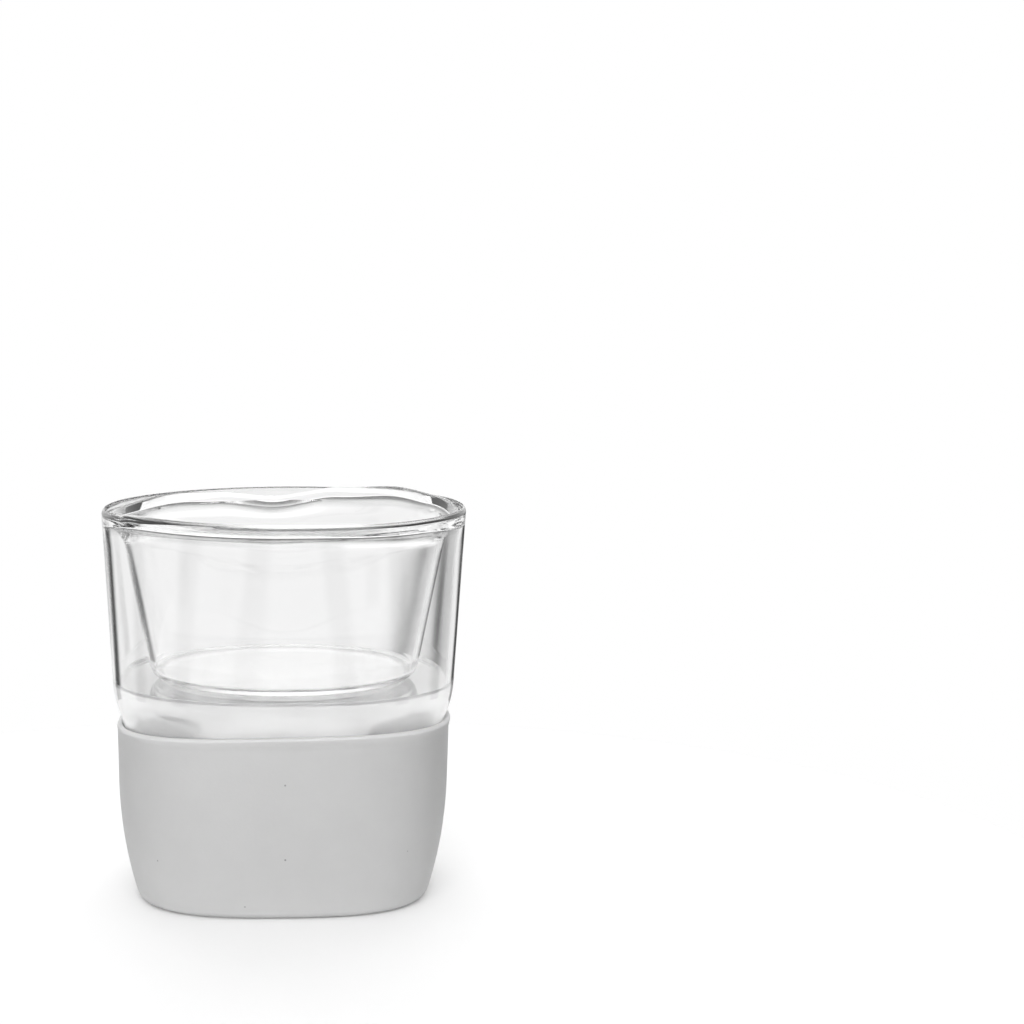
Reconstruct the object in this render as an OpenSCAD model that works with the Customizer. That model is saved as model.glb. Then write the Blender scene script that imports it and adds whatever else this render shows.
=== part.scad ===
// Double-wall spirit glass with a round rim, a rounded-square body and a cooling filling, in a silicone sleeve.
// Millimetres, +Z up, origin on the axis at the level of the table, flat faces of the body across X and Y.

/* [Overall] */
// Height from the table to the top of the rim
glass_h = 94; // [80:0.5:110]
// Outside diameter of the rim
rim_d = 88; // [72:1:110]

/* [Outer glass] */
// Thickness of the outer glass, wall and base
wall_t = 1.4; // [1:0.1:2]
// Outward lean of the wall above the shoulder, in degrees
wall_lean = 3.85; // [3:0.05:5]
// Level where the wall starts to turn in
shoulder_z = 51; // [44:0.1:59]
// Radius of the shoulder
shoulder_r = 18; // [14:0.5:22]
// Steepest lean of the shoulder, in degrees
shoulder_lean = 27; // [22:1:31]
// Radius of the hollow below the shoulder, where the sleeve's lip sits
neck_r = 7; // [5.5:0.5:9]
// How far the body's rounded corners reach past its faces at the foot of the hollow
corner_out = 4.4; // [0:0.1:5.5]
// Outward lean of the wall under the sleeve, in degrees
waist_lean = 1.2; // [0.5:0.1:2.5]
// Level where the belly starts to curve in
belly_z = 28; // [23:1:34]
// Radius of the belly
belly_r = 98; // [80:1:118]
// Radius of the glass where the belly meets the base
heel_r = 4; // [3:0.5:5]
// Radius of the cavity's bottom corner
cavity_heel_r = 3; // [2:0.5:4]
// Diameter of the push-up under the base
punt_d = 32; // [26:1:39]
// Height of the push-up
punt_h = 2; // [1.5:0.1:2.5]
// Diameter of the fill hole in the base
fill_hole_d = 7; // [5.5:0.5:8.5]

/* [Inner glass] */
// Radius of the rolled rim
rim_bead_r = 1.6; // [1.3:0.1:2]
// Depth of the fused seam below the top of the rim
seam_depth = 2.8; // [2.5:0.1:3.6]
// Thickness of the cup's wall
cup_t = 1.4; // [1:0.1:2]
// Thickness of the cup's floor
cup_floor_t = 1.8; // [1.5:0.1:2.2]
// Depth of the cup from the top of the rim to its floor
cup_depth = 40.3; // [32:0.1:46]
// Outward lean of the cup's wall, in degrees
cup_lean = 11.1; // [9.5:0.1:14]
// How far the cup's outside is set in from the outer glass at the seam
seam_step = 0.1; // [0.1:0.01:0.15]
// How far the cup's outside flares out to reach the seam
seam_flare = 2.25; // [1.8:0.05:2.7]
// Radius of that flare on the outside of the cup
flare_r = 10; // [8:0.5:12]
// Radius of the flared lip on the inside of the cup
lip_r = 10; // [8:0.5:12]
// Radius of the inside corner of the cup's floor
cup_fillet_r = 2.6; // [2:0.1:3.2]
// Radius of the outside corner of the cup's floor
cup_heel_r = 4; // [3.2:0.1:4.8]

/* [Cooling gel] */
// Air space between the gel's level and the cup, room to expand when frozen
gel_headroom = 0.5; // [0.3:0.1:4]
// How far the gel climbs the wall at its edge
meniscus_h = 0.9; // [0.7:0.1:1.1]
// Radius of the curve at the gel's edge
meniscus_r = 1.6; // [1.3:0.1:2]
// Gap between the gel and what holds it
gel_clear = 0.1; // [0.08:0.01:0.12]

/* [Fill plug] */
// Gap between the plug and the fill hole
plug_clear = 0.05; // [0.04:0.01:0.06]
// How far the plug's head reaches past the hole
plug_head_w = 2; // [1.6:0.1:2.4]
// Thickness of the plug's head
plug_head_t = 1; // [0.8:0.1:1.2]
// How far the plug's nose stands up into the gel
plug_nose_h = 1.5; // [1.2:0.1:1.8]

/* [Silicone sleeve] */
// Thickness of the sleeve's wall
sleeve_t = 1.2; // [1:0.1:1.5]
// Thickness of the sleeve's base
sleeve_base_t = 1.2; // [1:0.1:1.5]
// Gap between the sleeve's wall and the glass
sleeve_clear = 0.2; // [0.16:0.01:0.25]
// Radius of the sleeve's foot
foot_r = 2.5; // [2:0.1:3]

/* [Hidden] */
$fn = 144;
// Largest distance of a chord from the arc that it stands for
arc_tolerance = 0.03;
// Sides of a ring of the rounded-square body, a multiple of 8 so that faces and corners have a point
ring_sides = 48;
// Rings closer than this are one ring
ring_gap = 0.001;

// Profiles are lists of [radius, height]. A lean is the angle of a wall from the vertical, outward as it rises.
function outward(lean) = [cos(lean), -sin(lean)];
function arc_steps(radius, turn) = max(2, ceil(abs(turn) / (2 * acos(1 - arc_tolerance / radius))));
function arc(centre, radius, from, to) =
    let (steps = arc_steps(radius, to - from))
    [for (i = [0 : steps])
        let (angle = from + (to - from) * i / steps)
        centre + radius * [cos(angle), sin(angle)]];
function reversed(points) = [for (i = [len(points) - 1 : -1 : 0]) points[i]];

// Rim and seam
bead_c = [rim_d / 2 - rim_bead_r, glass_h - rim_bead_r];
seam_z = glass_h - seam_depth;
wall_top = bead_c + rim_bead_r * outward(wall_lean);
seam_out_r = wall_top[0] - (wall_top[1] - seam_z) * tan(wall_lean);
seam_in_r = seam_out_r - wall_t / cos(wall_lean);

// Centres of the curves down the outer wall
shoulder_top = [wall_top[0] - (wall_top[1] - shoulder_z) * tan(wall_lean), shoulder_z];
shoulder_c = shoulder_top - shoulder_r * outward(wall_lean);
neck_c = shoulder_c + (shoulder_r + neck_r) * outward(shoulder_lean);
neck_end = neck_c - neck_r * outward(waist_lean);
belly_top = [neck_end[0] - (neck_end[1] - belly_z) * tan(waist_lean), belly_z];
belly_c = belly_top - belly_r * outward(waist_lean);
base_z = sleeve_base_t;

// The outer wall, moved out by gap, in the stretches that make it up
function shoulder(gap) = arc(shoulder_c, shoulder_r + gap, -wall_lean, -shoulder_lean);
function neck(gap) = arc(neck_c, neck_r - gap, 180 - shoulder_lean, 180 - waist_lean);
function corner_drop(corner_r, floor_z) = belly_c[1] - floor_z - corner_r;
function corner_lean(gap, corner_r, floor_z) =
    asin(corner_drop(corner_r, floor_z) / (belly_r + gap - corner_r));
function belly(gap, corner_r, floor_z) =
    let (lean = corner_lean(gap, corner_r, floor_z))
    concat(
        arc(belly_c, belly_r + gap, -waist_lean, -lean),
        arc(belly_c + (belly_r + gap - corner_r) * outward(lean), corner_r, -lean, -90));
function wall(gap, corner_r, floor_z) = concat(shoulder(gap), neck(gap), belly(gap, corner_r, floor_z));

// The body's plan at a level is |x|^n + |y|^n = r^n: n is 2, a circle, at the seam, and grows down to the neck
// as the faces draw in more than the corners. Below the neck it stays the same.
face_line = [for (p = concat([[seam_out_r, seam_z]], shoulder(0), neck(0))) [p[1], p[0]]];
corner_line = [[seam_z, seam_out_r], [neck_end[1], neck_end[0] + corner_out]];
function plan_n(z) =
    let (level = max(z, neck_end[1]))
    1 / (1 / 2 - ln(lookup(level, corner_line) / lookup(level, face_line)) / ln(2));
function square_plan(points) = [for (p = points) [p[0], p[1], plan_n(p[1])]];
function round_plan(points) = [for (p = points) [p[0], p[1], 2]];
function ring(p) = [for (k = [0 : ring_sides - 1])
    let (angle = 360 * k / ring_sides, n = p[2])
    let (r = p[0] / pow(pow(abs(cos(angle)), n) + pow(abs(sin(angle)), n), 1 / n))
    [r * cos(angle), r * sin(angle), p[1]]];

// Solid through the rings of a list of [radius, height, n] that runs down an outside and up an inside.
// A looped list meets its own start, and the ends of the others are closed flat.
module loft(rings, looped) {
    levels = [for (i = [0 : len(rings) - 1]) if (i == 0 || norm(rings[i] - rings[i - 1]) > ring_gap) rings[i]];
    count = len(levels);
    spans = looped ? count : count - 1;
    strips = [for (i = [0 : spans - 1]) for (k = [0 : ring_sides - 1])
        let (here = i * ring_sides, below = (i + 1) % count * ring_sides, next = (k + 1) % ring_sides)
        each [[here + k, here + next, below + next], [here + k, below + next, below + k]]];
    lids = [
        [for (k = [ring_sides - 1 : -1 : 0]) k],
        [for (k = [0 : ring_sides - 1]) (count - 1) * ring_sides + k]];
    polyhedron([for (p = levels) each ring(p)], looped ? strips : concat(strips, lids), convexity = 6);
}

// Push-up of the base, moved up by rise, from a hole's edge out to the flat of the base
punt_r = (pow(punt_d / 2, 2) + pow(punt_h, 2)) / (2 * punt_h);
punt_c = [0, base_z + punt_h - punt_r];
function punt(rise, hole_r) =
    let (radius = punt_r + rise)
    arc(punt_c, radius, 90 - asin(hole_r / radius), 90 - acos((radius - punt_h) / radius));
function punt_z(rise, at_r) = punt_c[1] + sqrt(pow(punt_r + rise, 2) - pow(at_r, 2));

// Cup: lines of its outside and inside walls
cup_top_r = seam_in_r - seam_step;
cup_line = [cup_top_r - seam_flare, seam_z];
cup_in_line = cup_line - cup_t * outward(cup_lean);
function on_line(line, z) = line[0] - (line[1] - z) * tan(cup_lean);
cup_floor_z = glass_h - cup_depth;
cup_under_z = cup_floor_z - cup_floor_t;
flare_lean = cup_lean + acos(1 - seam_flare * cos(cup_lean) / flare_r);
flare_c = [cup_top_r, seam_z] + flare_r * outward(flare_lean);
bead_inset = (bead_c - cup_in_line) * outward(cup_lean);
lip_lean = cup_lean + acos((lip_r - bead_inset) / (lip_r - rim_bead_r));
lip_c = bead_c + (lip_r - rim_bead_r) * outward(lip_lean);
// Corner of the given radius between a cup wall's line and a floor, from the floor up
function cup_corner(line, radius, floor_z) =
    let (z = floor_z + radius)
    arc([on_line(line, z) - radius / cos(cup_lean), z], radius, -90, -cup_lean);

// Gel
gel_gap = wall_t + gel_clear;
gel_floor_z = base_z + gel_gap;
gel_z = cup_under_z - gel_headroom;
gel_edge_z = gel_z + meniscus_h;
gel_wall = concat(
    [[seam_in_r - gel_clear / cos(wall_lean), seam_z]],
    wall(-gel_gap, cavity_heel_r - gel_clear, gel_floor_z));
gel_edge_r = lookup(gel_edge_z, [for (p = gel_wall) [p[1], p[0]]]);
meniscus_turn = acos(1 - meniscus_h / meniscus_r);
meniscus_c = [gel_edge_r - meniscus_r * sin(meniscus_turn), gel_z + meniscus_r];

// Plug
hole_r = fill_hole_d / 2;
plug_r = hole_r - plug_clear;
plug_head_r = hole_r + plug_head_w;
plug_seat_z = punt_z(0, plug_head_r) - plug_clear;
plug_top_z = punt_z(wall_t, 0) + plug_nose_h;
plug_pocket_r = plug_r + gel_clear;

// Sleeve
sleeve_gap = sleeve_clear + sleeve_t;
sleeve_lip_c = neck_c - (neck_r - sleeve_clear - sleeve_t / 2) * outward(shoulder_lean);
sleeve_lip = arc(sleeve_lip_c, sleeve_t / 2, 180 - shoulder_lean, -shoulder_lean);

module outer_glass() {
    color("aliceblue", 0.35)
    loft(concat(
        square_plan([[seam_out_r, seam_z]]),
        square_plan(wall(0, heel_r, base_z)),
        round_plan(reversed(punt(0, hole_r))),
        round_plan(punt(wall_t, hole_r)),
        square_plan(reversed(wall(-wall_t, cavity_heel_r, base_z + wall_t))),
        square_plan([[seam_in_r, seam_z]])), looped = true);
}

module inner_glass() {
    color("azure", 0.35)
    rotate_extrude()
    polygon(concat(
        [[0, cup_floor_z]],
        cup_corner(cup_in_line, cup_fillet_r, cup_floor_z),
        arc(lip_c, lip_r, 180 - cup_lean, 180 - lip_lean),
        arc(bead_c, rim_bead_r, 180 - lip_lean, -wall_lean),
        [[seam_out_r, seam_z]],
        arc(flare_c, flare_r, 180 - flare_lean, 180 - cup_lean),
        reversed(cup_corner(cup_line, cup_heel_r, cup_under_z)),
        [[0, cup_under_z]]));
}

module cooling_gel() {
    color("whitesmoke", 0.5)
    loft(concat(
        square_plan(arc(meniscus_c, meniscus_r, -90, meniscus_turn - 90)),
        square_plan([for (p = gel_wall) if (p[1] < gel_edge_z) p]),
        round_plan(reversed(punt(gel_gap, plug_pocket_r))),
        round_plan([[plug_pocket_r, plug_top_z + gel_clear]])), looped = false);
}

module fill_plug() {
    color("gainsboro")
    rotate_extrude()
    polygon([
        [0, plug_seat_z - plug_head_t],
        [plug_head_r, plug_seat_z - plug_head_t],
        [plug_head_r, plug_seat_z],
        [plug_r, plug_seat_z],
        [plug_r, plug_top_z],
        [0, plug_top_z]]);
}

module silicone_sleeve() {
    color("lightgray")
    loft(square_plan(concat(
        reversed(belly(sleeve_clear, heel_r + sleeve_clear, base_z)),
        reversed(neck(sleeve_clear)),
        sleeve_lip,
        neck(sleeve_gap),
        belly(sleeve_gap, foot_r, 0))), looped = false);
}

outer_glass();
inner_glass();
cooling_gel();
fill_plug();
silicone_sleeve();
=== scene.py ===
from math import acos, asin, atan2, cos, hypot, log2, pi, radians, sin, sqrt, tan

import bpy
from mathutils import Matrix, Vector


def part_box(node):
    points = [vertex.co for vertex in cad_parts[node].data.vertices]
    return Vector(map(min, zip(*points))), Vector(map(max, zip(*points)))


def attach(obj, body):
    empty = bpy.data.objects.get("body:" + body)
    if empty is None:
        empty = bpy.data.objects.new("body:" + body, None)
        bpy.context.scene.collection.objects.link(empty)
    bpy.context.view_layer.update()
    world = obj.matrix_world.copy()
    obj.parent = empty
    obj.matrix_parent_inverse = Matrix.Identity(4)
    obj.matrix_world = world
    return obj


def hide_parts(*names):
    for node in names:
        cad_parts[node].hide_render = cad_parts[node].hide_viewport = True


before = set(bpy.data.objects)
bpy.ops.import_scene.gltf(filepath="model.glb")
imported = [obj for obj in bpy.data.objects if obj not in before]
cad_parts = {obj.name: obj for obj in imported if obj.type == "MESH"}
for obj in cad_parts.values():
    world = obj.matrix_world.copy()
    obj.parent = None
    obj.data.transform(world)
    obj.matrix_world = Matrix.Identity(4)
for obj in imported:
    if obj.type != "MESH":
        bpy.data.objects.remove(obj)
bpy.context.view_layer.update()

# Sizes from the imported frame, in metres.
# The visual rim is tilted, so its middle lies a little below the CAD's.
MM = 0.001
rim_drop = 0.5 * MM
rim_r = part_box("inner_glass")[1][0]
glass_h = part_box("inner_glass")[1][2] - rim_drop
cup_under_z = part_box("inner_glass")[0][2]
base_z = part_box("outer_glass")[0][2]
gel_edge_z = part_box("cooling_gel")[1][2]
plug_low_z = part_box("fill_plug")[0][2]
plug_top_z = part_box("fill_plug")[1][2]
plug_head_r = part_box("fill_plug")[1][0]

# Outer vessel
wall_t = 1.6 * MM
wall_lean = radians(3.85)
shoulder_z = 51 * MM
shoulder_r = 18 * MM
shoulder_lean = radians(27)
neck_r = 7 * MM
corner_r = 43 * MM
corner_shoulder_r = 44 * MM
waist_lean = radians(1.2)
belly_z = 28 * MM
belly_r = 98 * MM
heel_r = 4 * MM
cavity_heel_r = 3 * MM
punt_w = 16 * MM
punt_h = 2 * MM
hole_r = 3.5 * MM

# Drinking cup
rim_bead_r = 1.6 * MM
seam_depth = 2.2 * MM
notch_r = 0.45 * MM
notch_sink = 0.65 * MM
# Size of the grey tint along the seam, which is partly the joint's own look and partly painted shade
seam_line_h = 0.75 * MM
seam_line_w = 0.7 * MM
cup_t = 1.4 * MM
cup_floor_t = 1.8 * MM
cup_lean = radians(11.1)
seam_flare = 2.35 * MM
flare_r = 10 * MM
lip_r = 10 * MM
cup_fillet_r = 1.3 * MM
cup_heel_r = 4 * MM

# Gel
meniscus_h = 0.9 * MM
meniscus_r = 1.6 * MM
gel_overlap = 0.05 * MM

# Sleeve
sleeve_t = 1.2 * MM
sleeve_clear = 0.2 * MM
foot_r = 2.5 * MM

# Plug
plug_nose_r = 0.8 * MM
plug_head_t = 1 * MM
plug_edge_r = 0.35 * MM

# The seam was closed by hand: its depth below the rim in millimetres, by compass angle.
# The compass starts at the front and goes round by the right.
seam_depths = [(0, 2.6), (45, 3.3), (88, 4.6), (118, 3.0), (138, 2.05), (160, 3.0), (184, 5.3),
               (205, 3.8), (220, 3.4), (250, 4.5), (275, 4.2), (308, 2.2), (360, 2.6)]
seam_fade = 8 * MM
rim_tilt = 0.0109
rim_fade = 30 * MM

# The sleeve was pulled on by hand: its lip is low at the back, and a little high on the right
sleeve_drop = 2 * MM
sleeve_tilt_x = 0.0207
sleeve_tilt_y = -0.0475
sleeve_fade = 24 * MM

# How far past the round middle of a piece its points start to follow the rounded square
square_start = MM / 10

# Facets round the glass, and the longest straight piece of a curve in a profile
round_steps = 256
chord_turn = radians(4)
# Least number of pieces in each kind of curve, and in the straight walls
plug_steps = 4
punt_steps = 8
curve_steps = 10
tight_steps = 12
long_steps = 16
bead_steps = 24
wall_rows = 20
cup_rows = 16
# Size of the patch that a profile starts from, distance at which points merge, and turn that stays smooth
patch_size = 2 * MM
merge_distance = 0.002 * MM
smooth_turn = radians(40)


def outward(lean):
    """Direction out of a wall in a profile of (radius, height), when the wall leans in towards its foot."""
    return cos(lean), -sin(lean)


def shifted(point, distance, direction):
    return point[0] + distance * direction[0], point[1] + distance * direction[1]


def arc(centre, radius, start, end, least):
    """Points of an arc in a profile, from one angle to another, in at least so many pieces."""
    steps = max(least, int(abs(end - start) / chord_turn) + 1)
    angles = [start + (end - start) * i / steps for i in range(steps + 1)]
    return [(centre[0] + radius * cos(a), centre[1] + radius * sin(a)) for a in angles]


def line(start, end, pieces):
    """Inner points of a straight stretch, so that long faces stay short enough to bend."""
    return [
        (start[0] + (end[0] - start[0]) * i / pieces, start[1] + (end[1] - start[1]) * i / pieces)
        for i in range(1, pieces)
    ]


# Rim and seam
bead_c = (rim_r - rim_bead_r, glass_h - rim_bead_r)
seam_z = glass_h - seam_depth
wall_top = shifted(bead_c, rim_bead_r, outward(wall_lean))
seam_out_r = wall_top[0] - (wall_top[1] - seam_z) * tan(wall_lean)
seam_in_r = seam_out_r - wall_t / cos(wall_lean)

# Centres of the curves down the outer wall
shoulder_top = (wall_top[0] - (wall_top[1] - shoulder_z) * tan(wall_lean), shoulder_z)
shoulder_c = shifted(shoulder_top, -shoulder_r, outward(wall_lean))
neck_c = shifted(shoulder_c, shoulder_r + neck_r, outward(shoulder_lean))
neck_end = shifted(neck_c, -neck_r, outward(waist_lean))
belly_top = (neck_end[0] - (neck_end[1] - belly_z) * tan(waist_lean), belly_z)
belly_c = shifted(belly_top, -belly_r, outward(waist_lean))


def shoulder(gap):
    """The curve below the straight wall, a gap outside the glass."""
    return arc(shoulder_c, shoulder_r + gap, -wall_lean, -shoulder_lean, curve_steps)


def neck(gap):
    """The hollow curve that the sleeve's lip sits in, a gap outside the glass."""
    return arc(neck_c, neck_r - gap, pi - shoulder_lean, pi - waist_lean, curve_steps)


def belly(gap, bend_r, floor_z):
    """The lower wall, a gap outside the glass, and its bend on to a floor."""
    lean = asin((belly_c[1] - floor_z - bend_r) / (belly_r + gap - bend_r))
    bend_c = shifted(belly_c, belly_r + gap - bend_r, outward(lean))
    sides = arc(belly_c, belly_r + gap, -waist_lean, -lean, long_steps)
    return sides + arc(bend_c, bend_r, -lean, -pi / 2, curve_steps)


def wall(gap, bend_r, floor_z):
    return shoulder(gap) + neck(gap) + belly(gap, bend_r, floor_z)


# Push-up of the base
punt_r = (punt_w ** 2 + punt_h ** 2) / (2 * punt_h)
punt_c = (0, base_z + punt_h - punt_r)


def punt(rise, inner_r):
    """The push-up of the base, so far above its underside, from a hole of a radius outwards."""
    radius = punt_r + rise
    start = pi / 2 - asin(inner_r / radius)
    end = pi / 2 - acos((radius - punt_h) / radius)
    return arc(punt_c, radius, start, end, punt_steps)


# Cup walls
cup_floor_z = cup_under_z + cup_floor_t
cup_line = (seam_in_r - seam_flare, seam_z)
cup_in_line = shifted(cup_line, -cup_t, outward(cup_lean))
flare_lean = cup_lean + acos(1 - seam_flare * cos(cup_lean) / flare_r)
flare_c = shifted((seam_in_r, seam_z), flare_r, outward(flare_lean))
bead_inset = (bead_c[0] - cup_in_line[0]) * cos(cup_lean) - (bead_c[1] - cup_in_line[1]) * sin(cup_lean)
lip_lean = cup_lean + acos((lip_r - bead_inset) / (lip_r - rim_bead_r))
lip_c = shifted(bead_c, lip_r - rim_bead_r, outward(lip_lean))


def notch():
    """Rounded top of the cavity, between its wall and the flare of the cup, and where the flare goes on."""
    start = shifted((seam_in_r, seam_z), -notch_r, outward(wall_lean))
    down = (-sin(wall_lean), -cos(wall_lean))
    to_flare = (start[0] - flare_c[0], start[1] - flare_c[1])
    along = to_flare[0] * down[0] + to_flare[1] * down[1]
    over = to_flare[0] ** 2 + to_flare[1] ** 2 - (flare_r - notch_r) ** 2
    centre = shifted(start, -along - sqrt(along ** 2 - over), down)
    flare_start = atan2(centre[1] - flare_c[1], centre[0] - flare_c[0]) % (2 * pi)
    return arc(centre, notch_r, -wall_lean, flare_start, tight_steps), flare_start


def cup_corner(on_line, radius, floor_z):
    """The bend from the cup's floor up to its wall, which goes through a point."""
    centre_z = floor_z + radius
    centre_r = on_line[0] - (on_line[1] - centre_z) * tan(cup_lean) - radius / cos(cup_lean)
    return arc((centre_r, centre_z), radius, -pi / 2, -cup_lean, curve_steps)


def glass_profile():
    """One outline: up the inside of the cup, over the rim, down the outside, and back up the cavity."""
    inside = [(0, cup_floor_z)] + cup_corner(cup_in_line, cup_fillet_r, cup_floor_z)
    lip = arc(lip_c, lip_r, pi - cup_lean, pi - lip_lean, curve_steps)
    bead = arc(bead_c, rim_bead_r, pi - lip_lean, -wall_lean, bead_steps)[1:]
    outside = wall(0, heel_r, base_z)
    under = punt(0, hole_r)[::-1] + punt(wall_t, hole_r)
    cavity = wall(-wall_t, cavity_heel_r, base_z + wall_t)[::-1]
    top, flare_start = notch()
    flare = arc(flare_c, flare_r, flare_start, pi - cup_lean, tight_steps)[1:]
    below = cup_corner(cup_line, cup_heel_r, cup_under_z)[::-1] + [(0, cup_under_z)]
    return (
        inside + line(inside[-1], lip[0], cup_rows) + lip
        + bead + line(bead[-1], outside[0], wall_rows) + outside
        + under + cavity + line(cavity[-1], top[0], wall_rows) + top
        + flare + line(flare[-1], below[0], cup_rows) + below
    )


def gel_profile():
    """The filling, a little into the glass that holds it, with its edge drawn up the wall."""
    gap = gel_overlap - wall_t
    floor_z = base_z + wall_t - gel_overlap
    side = [(seam_in_r + gel_overlap, seam_z)] + wall(gap, cavity_heel_r + gel_overlap, floor_z)
    edge = next(
        (a[0] + (b[0] - a[0]) * (gel_edge_z - a[1]) / (b[1] - a[1]), gel_edge_z)
        for a, b in zip(side, side[1:]) if b[1] <= gel_edge_z <= a[1]
    )
    turn = acos(1 - meniscus_h / meniscus_r)
    gel_z = gel_edge_z - meniscus_h
    meniscus_c = (edge[0] - meniscus_r * sin(turn), gel_z + meniscus_r)
    surface = arc(meniscus_c, meniscus_r, turn - pi / 2, -pi / 2, long_steps)
    rising = [p for p in side if p[1] < gel_edge_z][::-1]
    bottom = [(0, plug_top_z), (hole_r, plug_top_z)] + punt(wall_t - gel_overlap, hole_r)
    return bottom + rising + surface + [(0, gel_z)]


def sleeve_profile():
    """Up the inside from the middle of the base, over the lip, and down the outside."""
    lip_end_c = shifted(neck_c, sleeve_clear + sleeve_t / 2 - neck_r, outward(shoulder_lean))
    lip_end = arc(lip_end_c, sleeve_t / 2, pi - shoulder_lean, -shoulder_lean, tight_steps)
    inside = (neck(sleeve_clear)[1:] + belly(sleeve_clear, heel_r + sleeve_clear, base_z))[::-1]
    gap = sleeve_clear + sleeve_t
    outside = neck(gap)[1:] + belly(gap, foot_r, 0)
    return [(0, base_z)] + inside + lip_end + outside + [(0, 0)]


def plug_profile():
    """A stopper with a flat head below the hole and a rounded nose in the gel."""
    head_top = plug_low_z + plug_head_t
    edge_r = plug_head_r - plug_edge_r
    head = arc((edge_r, plug_low_z + plug_edge_r), plug_edge_r, -pi / 2, 0, plug_steps)
    crown = arc((edge_r, head_top - plug_edge_r), plug_edge_r, 0, pi / 2, plug_steps)
    nose = arc((hole_r - plug_nose_r, plug_top_z - plug_nose_r), plug_nose_r, 0, pi / 2, plug_steps)
    return [(0, plug_low_z)] + head + crown + [(hole_r, head_top)] + nose + [(0, plug_top_z)]


# The plan of the body at a level is |x|^n + |y|^n = r^n.
# At the seam n is 2, a circle, and it grows down to the neck, where the plan is a rounded square.
face_line = [(seam_out_r, seam_z)] + shoulder(0) + neck(0)
corner_line = [(seam_out_r, seam_z), (corner_shoulder_r, shoulder_z), (corner_r, neck_end[1])]
seam_mean_depth = seam_depth + notch_sink
seam_crest = max(notch()[0], key=lambda point: point[1])
sleeve_lip_z = neck_c[1] - (neck_r - sleeve_clear - sleeve_t) * outward(shoulder_lean)[1]


def radius_at(profile, z):
    """Radius of a falling profile at a level, held at the ends."""
    z = min(max(z, profile[-1][1]), profile[0][1])
    for (r, top), (next_r, low) in zip(profile, profile[1:]):
        if low <= z <= top and top > low:
            return r + (next_r - r) * (top - z) / (top - low)
    return profile[-1][0]


def squared(r, angle, z):
    """Radius at an angle of the plan whose faces are r from the axis, and corners 2^(1/2 - 1/n) r."""
    n = 1 / (1 / 2 - log2(radius_at(corner_line, z) / radius_at(face_line, z)))
    return r * (abs(cos(angle)) ** n + abs(sin(angle)) ** n) ** (-1 / n)


def eased(value, start, end):
    """0 at start, 1 at end, with a smooth curve between."""
    share = min(max((value - start) / (end - start), 0), 1)
    return share * share * (3 - 2 * share)


def seam_drop(angle):
    """How much deeper the seam lies than its mean, at an angle in the XY plane."""
    compass = (angle * 180 / pi + 90) % 360
    for (start, depth), (end, next_depth) in zip(seam_depths, seam_depths[1:]):
        if start <= compass <= end:
            return (depth + (next_depth - depth) * eased(compass, start, end)) * MM - seam_mean_depth


def glass_form(r, angle, z):
    """The outer wall squared and the cup left round, with the rim tilted and the seam waved."""
    cup_out_r = cup_line[0] - (seam_z - z) * tan(cup_lean)
    cavity_r = seam_in_r - (seam_z - z) * tan(wall_lean)
    between = (max(cup_out_r, 0) + cavity_r) / 2 if z > cup_under_z - cup_t else punt_w
    form_r = squared(r, angle, z) if r > between + square_start and z < seam_z else r
    form_z = z + rim_tilt * r * cos(angle) * eased(z, glass_h - rim_fade, glass_h)
    if cup_out_r - cup_t / 2 < r < cavity_r + wall_t / 2:
        form_z -= seam_drop(angle) * eased(z, seam_z - seam_fade, seam_z)
    return form_r, form_z


def gel_form(r, angle, z):
    """The filling squared like the cavity, round the push-up of the base."""
    return (squared(r, angle, z) if r > punt_w + square_start else r), z


def sleeve_form(r, angle, z):
    """The sleeve squared like the glass, with its lip pulled down and tilted along the wall."""
    slip = r * (sleeve_tilt_x * cos(angle) + sleeve_tilt_y * sin(angle)) - sleeve_drop
    form_z = z + slip * eased(z, sleeve_lip_z - sleeve_fade, sleeve_lip_z)
    follow = radius_at(face_line, form_z) - radius_at(face_line, z)
    return squared(r + follow, angle, form_z), form_z


def plain_form(r, angle, z):
    return r, z


def reshape(piece, form):
    """Moves each point of a round piece to where its form puts it."""
    for vertex in piece.data.vertices:
        angle = atan2(vertex.co.y, vertex.co.x)
        r, z = form(hypot(vertex.co.x, vertex.co.y), angle, vertex.co.z)
        vertex.co = (r * cos(angle), r * sin(angle), z)


def seam_shade_mark(r, z):
    """How near a point is to the top of the cavity, where the two glasses were fused, as the share of the
    seam's grey tint: partly the joint's own look, partly painted shade.
    """
    near = abs(r - seam_crest[0]) < seam_line_w
    return 1 - eased(abs(seam_crest[1] - z), seam_line_h / 2, seam_line_h) if near else 0


def mark_points(piece, name, mark):
    """Stores a value on each point of a round piece, which its material reads by name."""
    marks = piece.data.attributes.new(name, "FLOAT", "POINT")
    for vertex, stored in zip(piece.data.vertices, marks.data):
        stored.value = mark(hypot(vertex.co.x, vertex.co.y), vertex.co.z)


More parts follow.
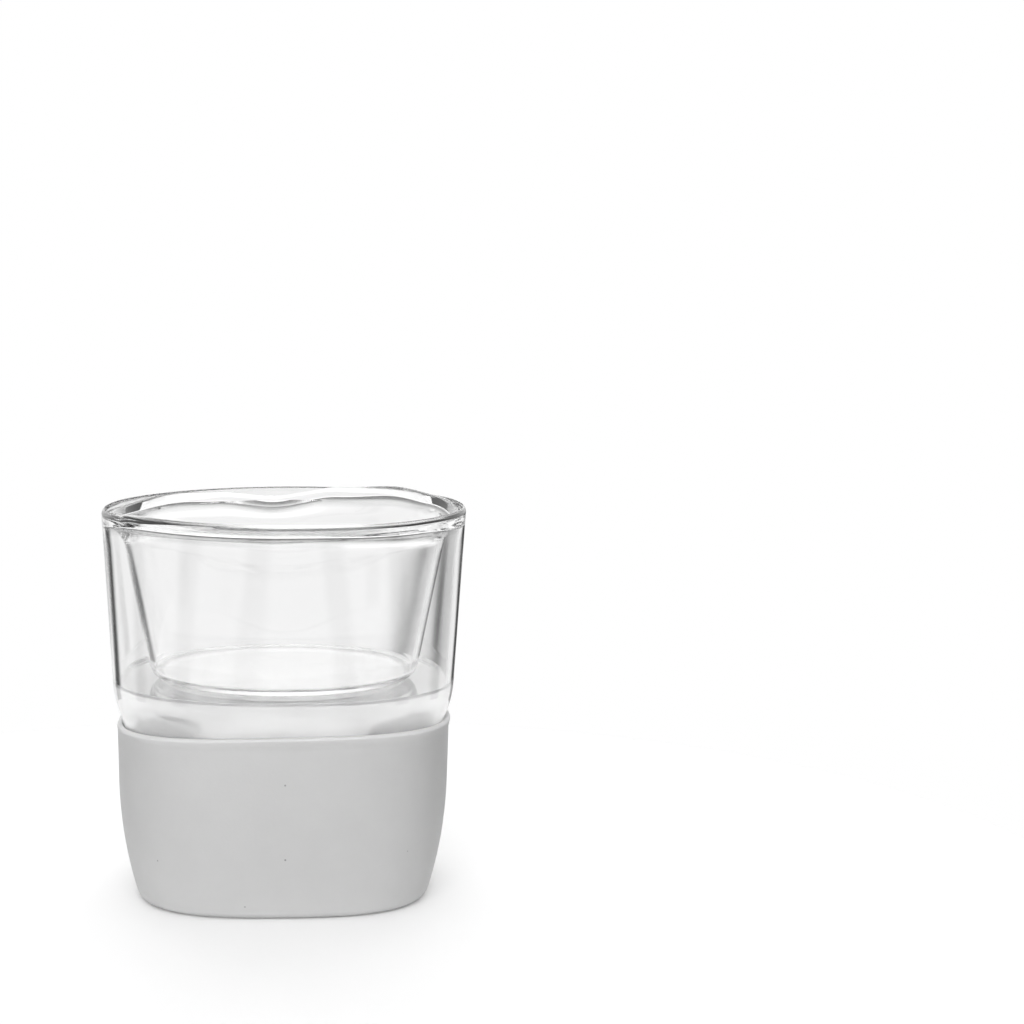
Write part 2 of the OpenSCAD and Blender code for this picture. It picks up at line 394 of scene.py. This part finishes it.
def spun_piece(name, profile, form, *marks):
    """Draws the profile in the XZ plane, a point at a time, and spins it about the axis."""
    bpy.ops.object.select_all(action="DESELECT")
    bpy.ops.mesh.primitive_plane_add(size=patch_size)
    piece = bpy.context.object
    piece.name = name
    bpy.ops.object.mode_set(mode="EDIT")
    bpy.ops.mesh.select_all(action="SELECT")
    bpy.ops.mesh.merge(type="CENTER")
    bpy.ops.transform.translate(value=(profile[0][0], 0, profile[0][1]))
    for (r, z), (next_r, next_z) in zip(profile, profile[1:]):
        bpy.ops.mesh.extrude_region_move(TRANSFORM_OT_translate={"value": (next_r - r, 0, next_z - z)})
    bpy.ops.mesh.select_all(action="SELECT")
    bpy.ops.mesh.spin(steps=round_steps, angle=2 * pi, center=(0, 0, 0), axis=(0, 0, 1))
    bpy.ops.mesh.select_all(action="SELECT")
    bpy.ops.mesh.remove_doubles(threshold=merge_distance)
    bpy.ops.mesh.normals_make_consistent(inside=False)
    bpy.ops.object.mode_set(mode="OBJECT")
    for mark_name, mark in marks:
        mark_points(piece, mark_name, mark)
    reshape(piece, form)
    bpy.ops.object.shade_smooth_by_angle(angle=smooth_turn)
    return piece


# Glass
glass_ior = 1.47
glass_waves = 40
glass_wave_depth = 0.06 * MM
# Grey of the tint on the fused seam: partly the joint's own look, and partly painted shade
seam_shade_grey = 0.1

# Gel
gel_ior = 1.46
gel_clear = 0.68
gel_clouds = 80
gel_detail = 2
gel_haze = 0.94

# Silicone
silicone_clouds = 120
silicone_detail = 3
silicone_cloud_depth = 0.015
grain_waves = 1400
grain_detail = 2
grain_depth = 0.02 * MM
grain_smooth = 0.5
grain_rough = 0.62
dust_cells = 150
dust_size = 0.045
dust_grey = 0.45
sleeve_grey = 0.68
sleeve_light_depth = 4 * MM
plug_grey = 0.8
plug_light_depth = 2 * MM

# Range that most of a noise texture lies in
noise_low = 0.3
noise_high = 0.7


def grey_colour(level):
    return level, level, level, 1


def node_material(name):
    """A new material, with its nodes, links and main shader."""
    material = bpy.data.materials.new(name)
    material.use_nodes = True
    nodes = material.node_tree.nodes
    return material, nodes, material.node_tree.links, nodes["Principled BSDF"]


def add_texture(nodes, links, kind, scale, detail=0):
    """A texture in the object's own coordinates, with the number of its cells or waves in a metre."""
    place = nodes.new("ShaderNodeTexCoord")
    texture = nodes.new(kind)
    texture.inputs["Scale"].default_value = scale
    texture.inputs["Detail"].default_value = detail
    links.new(place.outputs["Object"], texture.inputs["Vector"])
    return texture


def add_ramp(nodes, links, value, *stops):
    """Turns a value into a grey, by two stops of (value, grey) in rising order."""
    ramp = nodes.new("ShaderNodeValToRGB")
    for element, (position, grey) in zip(ramp.color_ramp.elements, stops):
        element.position = position
        element.color = grey_colour(grey)
    links.new(value, ramp.inputs["Fac"])
    return ramp.outputs["Color"]


def add_product(nodes, links, first, second):
    """One colour multiplied by another."""
    mix = nodes.new("ShaderNodeMix")
    mix.data_type = "RGBA"
    mix.blend_type = "MULTIPLY"
    mix.inputs["Factor"].default_value = 1
    links.new(first, mix.inputs["A"])
    links.new(second, mix.inputs["B"])
    return mix.outputs["Result"]


def add_bump(nodes, links, shader, value, depth):
    bump = nodes.new("ShaderNodeBump")
    bump.inputs["Distance"].default_value = depth
    links.new(value, bump.inputs["Height"])
    links.new(bump.outputs["Normal"], shader.inputs["Normal"])


def clear_glass():
    """Blown glass, a little wavy, with a grey tint along the fused seam: partly the joint's own look, and
    partly painted shade for the dark line that refraction at the rounded notch draws there.
    """
    material, nodes, links, shader = node_material("clear_glass")
    seam = nodes.new("ShaderNodeAttribute")
    seam.attribute_name = "seam"
    # The seam's grey tint is partly the joint's own look, and partly painted shade for the dark line of
    # refraction
    tint = add_ramp(nodes, links, seam.outputs["Fac"], (0, 1), (1, seam_shade_grey))
    links.new(tint, shader.inputs["Base Color"])
    shader.inputs["Roughness"].default_value = 0
    shader.inputs["IOR"].default_value = glass_ior
    shader.inputs["Transmission Weight"].default_value = 1
    waves = add_texture(nodes, links, "ShaderNodeTexNoise", glass_waves)
    add_bump(nodes, links, shader, waves.outputs["Fac"], glass_wave_depth)
    return material


def clear_gel():
    """A clear filling with a faint, cloudy haze."""
    material, nodes, links, shader = node_material("clear_gel")
    clouds = add_texture(nodes, links, "ShaderNodeTexNoise", gel_clouds, gel_detail)
    haze = add_ramp(nodes, links, clouds.outputs["Fac"], (noise_low, gel_haze), (noise_high, 1))
    links.new(haze, shader.inputs["Base Color"])
    shader.inputs["Roughness"].default_value = 0
    shader.inputs["IOR"].default_value = gel_ior
    shader.inputs["Transmission Weight"].default_value = gel_clear
    return material


def silicone(name, grey, light_depth):
    """Moulded silicone: a fine matt grain, faint clouds in the colour, and small dark specks of dust."""
    material, nodes, links, shader = node_material(name)
    clouds = add_texture(nodes, links, "ShaderNodeTexNoise", silicone_clouds, silicone_detail)
    dark = (noise_low, (1 - silicone_cloud_depth) * grey)
    pale = (noise_high, (1 + silicone_cloud_depth) * grey)
    colour = add_ramp(nodes, links, clouds.outputs["Fac"], dark, pale)
    dust = add_texture(nodes, links, "ShaderNodeTexVoronoi", dust_cells)
    speck = add_ramp(nodes, links, dust.outputs["Distance"], (dust_size / 2, dust_grey), (dust_size, 1))
    links.new(add_product(nodes, links, colour, speck), shader.inputs["Base Color"])
    grain = add_texture(nodes, links, "ShaderNodeTexNoise", grain_waves, grain_detail)
    smooth = (noise_low, grain_smooth)
    rough = (noise_high, grain_rough)
    gloss = add_ramp(nodes, links, grain.outputs["Fac"], smooth, rough)
    links.new(gloss, shader.inputs["Roughness"])
    add_bump(nodes, links, shader, grain.outputs["Fac"], grain_depth)
    shader.inputs["Subsurface Weight"].default_value = 1
    shader.inputs["Subsurface Radius"].default_value = (1, 1, 1)
    shader.inputs["Subsurface Scale"].default_value = light_depth
    return material


def add_piece(name, profile, form, marks, material, body, slot, *nodes):
    """Makes a piece, hides the CAD parts that it stands for, and gives it what it moves with and what it is
    made of.
    """
    piece = spun_piece(name, profile, form, *marks)
    piece.data.materials.clear()
    piece.data.materials.append(material)
    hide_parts(*nodes)
    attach(piece, body)


add_piece("blown_glass", glass_profile(), glass_form, [("seam", seam_shade_mark)], clear_glass(),
          "glass", "clear_glass", "outer_glass", "inner_glass")
add_piece("gel_filling", gel_profile(), gel_form, [], clear_gel(),
          "glass", "clear_gel", "cooling_gel")
add_piece("base_plug", plug_profile(), plain_form, [],
          silicone("plug_silicone", plug_grey, plug_light_depth),
          "glass", "plug_silicone", "fill_plug")
add_piece("sleeve_boot", sleeve_profile(), sleeve_form, [],
          silicone("grey_silicone", sleeve_grey, sleeve_light_depth),
          "sleeve", "grey_silicone", "silicone_sleeve")


# Floor, as the camera and clear glass see it
floor_r = 0.2
floor_sides = 64
floor_grey = 0.8
floor_rough = 0.9
floor_glow = 0.15
# How pale the floor is to the light that bounces off it on to the object:
# a white card round the foot, and grey beyond
card_grey = 0.75
bounce_grey = 0.2
card_r = 0.05
card_end_r = 0.1

# Light that falls on the object, by compass angle: 0 behind the glass, 90 on its right, 180 at the camera
studio_walls = [(0, 2.2), (25, 1.8), (45, 0.4), (90, 0.03), (130, 0.05),
                (150, 0.2), (165, 1.3), (185, 3.3), (200, 3.3), (215, 0.6),
                (235, 0.05), (260, 0.03), (275, 0.03), (315, 0.4), (335, 1.8)]
# Turn of the world's gradient that makes it start behind the glass
compass_turn = radians(90)
# What clear glass shows: a white studio, a little dimmer below the level of the table.
# A level is a brightness, and the bounds from low_top to top_full, apart from the sides of the cloth,
# are heights of a direction: 0 is level and 1 is straight up.
panel_level = 1.15
low_level = 0.87
low_top = 0.08
low_full = -0.06
# Dark cloth lies round the table between white sheets, and gives the edges of clear glass their lines.
# Its sides, flag_start and flag_full, are shares of the turn from one sheet's middle to the next.
flag_count = 8
flag_fold = 0.5
flag_turn = 7 / 45
flag_start = 12 / 45
flag_full = 19 / 45
flag_level = 0.06
flag_top = -0.05
flag_full_top = -0.14
flag_full_low = -0.24
flag_low = -0.36
# A soft box hangs over the table
top_start = 0.7
top_full = 0.9
top_level = 1.6
glass_top_level = 1.7
# Light that the glass passes on to the gel and the inside of the sleeve, against what the glass shows
inner_gain = 2.9


def add_math(nodes, links, operation, *inputs):
    """One operation on numbers and sockets."""
    node = nodes.new("ShaderNodeMath")
    node.operation = operation
    for socket, value in zip(node.inputs, inputs):
        if isinstance(value, (int, float)):
            socket.default_value = value
        else:
            links.new(value, socket)
    return node.outputs[0]


def add_step(nodes, links, value, start, end):
    """0 below start and 1 above end, or the other way round, with a smooth change between."""
    node = nodes.new("ShaderNodeMapRange")
    node.interpolation_type = "SMOOTHSTEP"
    node.inputs["From Min"].default_value = start
    node.inputs["From Max"].default_value = end
    links.new(value, node.inputs["Value"])
    return node.outputs["Result"]


def add_mix(nodes, links, share, first, second):
    """The first value where the share is 0, the second where it is 1."""
    node = nodes.new("ShaderNodeMix")
    for name, value in (("Factor", share), ("A", first), ("B", second)):
        if isinstance(value, (int, float)):
            node.inputs[name].default_value = value
        else:
            links.new(value, node.inputs[name])
    return node.outputs["Result"]


def floor():
    """A pale disc that the glass stands on, white to the camera and clear glass where no shadow falls."""
    bpy.ops.object.select_all(action="DESELECT")
    bpy.ops.mesh.primitive_circle_add(
        vertices=floor_sides, radius=floor_r, fill_type="NGON", location=(0, 0, 0))
    ground = bpy.context.object
    ground.name = "table_top"
    material, nodes, links, shader = node_material("table_top")
    path = nodes.new("ShaderNodeLightPath")
    place = nodes.new("ShaderNodeTexCoord")
    distance = nodes.new("ShaderNodeVectorMath")
    distance.operation = "LENGTH"
    links.new(place.outputs["Object"], distance.inputs[0])
    card = add_step(nodes, links, distance.outputs["Value"], card_end_r, card_r)
    bounce = add_mix(nodes, links, card, bounce_grey, card_grey)
    grey = add_mix(nodes, links, path.outputs["Is Diffuse Ray"], floor_grey, bounce)
    links.new(grey, shader.inputs["Base Color"])
    shader.inputs["Roughness"].default_value = floor_rough
    glow = nodes.new("ShaderNodeEmission")
    glow.inputs["Color"].default_value = grey_colour(floor_glow)
    seen = add_math(nodes, links, "ADD", path.outputs["Is Camera Ray"], path.outputs["Is Transmission Ray"])
    links.new(seen, glow.inputs["Strength"])
    both = nodes.new("ShaderNodeAddShader")
    links.new(shader.outputs[0], both.inputs[0])
    links.new(glow.outputs[0], both.inputs[1])
    links.new(both.outputs[0], nodes["Material Output"].inputs["Surface"])
    ground.data.materials.append(material)


def add_walls(nodes, links, compass):
    """The light that falls on the object from each side."""
    walls = nodes.new("ShaderNodeValToRGB")
    stops = walls.color_ramp.elements
    stops.remove(stops[-1])
    stops[0].position = 0
    stops[0].color = grey_colour(studio_walls[0][1])
    for angle, level in studio_walls:
        stop = stops.new(1 - angle / 360)
        stop.color = grey_colour(level)
    links.new(compass, walls.inputs["Fac"])
    return walls.outputs["Color"]


def add_shown(nodes, links, compass, height):
    """The white sheets and dark cloth that clear glass shows."""
    turns = add_math(nodes, links, "MULTIPLY_ADD", compass, flag_count, -flag_turn)
    off_panel = add_math(nodes, links, "PINGPONG", turns, flag_fold)
    flag = add_step(nodes, links, off_panel, flag_start, flag_full)
    under = add_step(nodes, links, height, flag_top, flag_full_top)
    above = add_step(nodes, links, height, flag_low, flag_full_low)
    low_band = add_math(nodes, links, "MULTIPLY", under, above)
    shade = add_math(nodes, links, "MULTIPLY", flag, low_band)
    low = add_step(nodes, links, height, low_top, low_full)
    panels = add_mix(nodes, links, low, panel_level, low_level)
    return add_mix(nodes, links, shade, panels, flag_level)


def studio():
    """The world: white to the camera, a studio to clear glass, and soft light from the front and above."""
    world = bpy.data.worlds.new("studio")
    bpy.context.scene.world = world
    world.use_nodes = True
    nodes = world.node_tree.nodes
    links = world.node_tree.links
    background = nodes["Background"]
    background.inputs["Color"].default_value = grey_colour(1)
    place = nodes.new("ShaderNodeTexCoord")
    turn = nodes.new("ShaderNodeMapping")
    turn.inputs["Rotation"].default_value = (0, 0, compass_turn)
    gradient = nodes.new("ShaderNodeTexGradient")
    gradient.gradient_type = "RADIAL"
    position = nodes.new("ShaderNodeSeparateXYZ")
    links.new(place.outputs["Generated"], turn.inputs["Vector"])
    links.new(turn.outputs["Vector"], gradient.inputs["Vector"])
    links.new(place.outputs["Generated"], position.inputs["Vector"])
    compass = gradient.outputs["Fac"]
    height = position.outputs["Z"]

    walls = add_walls(nodes, links, compass)
    shown = add_shown(nodes, links, compass, height)
    path = nodes.new("ShaderNodeLightPath")
    mirrored = path.outputs["Is Glossy Ray"]
    clear = add_math(nodes, links, "ADD", mirrored, path.outputs["Is Transmission Ray"])
    overhead = add_step(nodes, links, height, top_start, top_full)
    room = add_mix(nodes, links, overhead, walls, top_level)
    shown_room = add_mix(nodes, links, overhead, shown, glass_top_level)
    passed_on = add_math(nodes, links, "MINIMUM", path.outputs["Diffuse Depth"], 1)
    gain = add_mix(nodes, links, passed_on, 1, inner_gain)
    through = add_math(nodes, links, "MULTIPLY", shown_room, gain)
    lit = add_mix(nodes, links, clear, room, through)
    seen = add_mix(nodes, links, path.outputs["Is Camera Ray"], lit, 1)
    links.new(seen, background.inputs["Strength"])


# The photograph's camera, in metres, and where it shows the middle of the glass,
# in pixels from the centre of the frame
camera_place = Vector((0, -0.625, 0.1661))
camera_target = Vector((0, 0, 0.045))
target_in_frame = (-227.8, -189.4)
frame_pixels = 1024
lens = 90.8
sensor = 36
clip_near = 0.01
clip_far = 50


def camera():
    """Turns the camera so that the target lies where the photograph shows it."""
    bpy.ops.object.camera_add(location=camera_place)
    view = bpy.context.object
    view.data.lens = lens
    view.data.sensor_width = sensor
    view.data.clip_start = clip_near
    view.data.clip_end = clip_far
    sight = Vector((*target_in_frame, -lens / sensor * frame_pixels))
    to_target = (camera_target - camera_place).to_track_quat("-Z", "Y")
    view.rotation_euler = (to_target @ sight.rotation_difference(Vector((0, 0, -1)))).to_euler()
    bpy.context.scene.camera = view


floor()
studio()
camera()
bpy.context.scene.view_settings.view_transform = "Standard"

# Light crosses eight surfaces of glass and more, and is passed on along the walls
light_steps = 32
bpy.context.scene.cycles.max_bounces = light_steps
bpy.context.scene.cycles.transmission_bounces = light_steps
bpy.context.scene.cycles.glossy_bounces = light_steps
